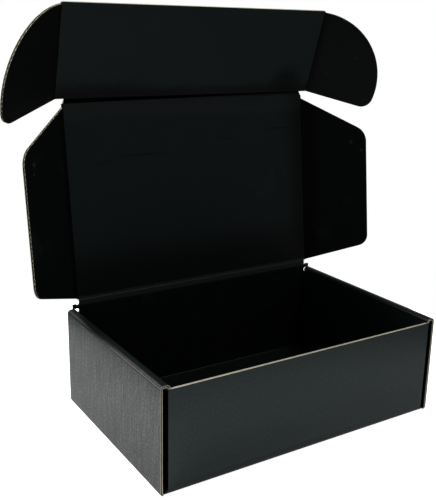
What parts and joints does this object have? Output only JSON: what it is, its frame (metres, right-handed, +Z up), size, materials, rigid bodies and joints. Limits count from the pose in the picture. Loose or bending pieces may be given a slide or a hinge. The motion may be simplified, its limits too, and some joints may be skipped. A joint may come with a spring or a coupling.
{
  "type": "corrugated mailer box",
  "caption": "Black corrugated mailer box standing open: a folded roll-end tray with a hinged lid, a tuck flap with rounded locking ears, and side dust flaps.",
  "frame": {"origin": "middle of the tray's underside", "axes": "+Z up, +Y from the front wall to the back wall that carries the lid, +X along the width, to the right as seen from the front"},
  "size_m": [0.3424, 0.175, 0.3118],
  "materials": {
    "tray": "black paper with a soft sheen, raw brown corrugated edges",
    "lid": "black paper with a soft sheen, raw brown corrugated edges",
    "tuck_flap": "black paper with a soft sheen, raw brown corrugated edges",
    "left_ear": "black paper with a soft sheen, raw brown corrugated edges",
    "right_ear": "black paper with a soft sheen, raw brown corrugated edges",
    "left_dust_flap": "black paper with a soft sheen, raw brown corrugated edges",
    "right_dust_flap": "black paper with a soft sheen, raw brown corrugated edges"
  },
  "bodies": {
    "tray": {"tray": "tray"},
    "lid": {"lid": "lid"},
    "tuck_flap": {"tuck_flap": "tuck_flap"},
    "left_ear": {"left_ear": "left_ear"},
    "right_ear": {"right_ear": "right_ear"},
    "left_dust_flap": {"left_dust_flap": "left_dust_flap"},
    "right_dust_flap": {"right_dust_flap": "right_dust_flap"}
  },
  "joints": [
    {"name": "lid_hinge", "type": "hinge", "parent": "tray", "child": "lid", "pos_m": [0, 0.0771, 0.086], "axis": [1, 0, 0], "range_deg": [-83, 97]},
    {"name": "tuck_flap_hinge", "type": "hinge", "parent": "lid", "child": "tuck_flap", "pos_m": [0, 0.09615, 0.24113], "axis": [1, 0, 0], "range_deg": [-25, 65]},
    {"name": "left_ear_hinge", "type": "hinge", "parent": "tuck_flap", "child": "left_ear", "pos_m": [-0.11928, 0.09615, 0.24113], "axis": [0, 0.309, -0.9511], "range_deg": [-56, 34]},
    {"name": "right_ear_hinge", "type": "hinge", "parent": "tuck_flap", "child": "right_ear", "pos_m": [0.11928, 0.09615, 0.24113], "axis": [0, -0.309, 0.9511], "range_deg": [-56, 34]},
    {"name": "left_dust_flap_hinge", "type": "hinge", "parent": "lid", "child": "left_dust_flap", "pos_m": [-0.1134, 0.0771, 0.086], "axis": [0, 0.1219, 0.9925], "range_deg": [-39, 51]},
    {"name": "right_dust_flap_hinge", "type": "hinge", "parent": "lid", "child": "right_dust_flap", "pos_m": [0.1134, 0.0771, 0.086], "axis": [0, -0.1219, -0.9925], "range_deg": [-39, 51]}
  ]
}
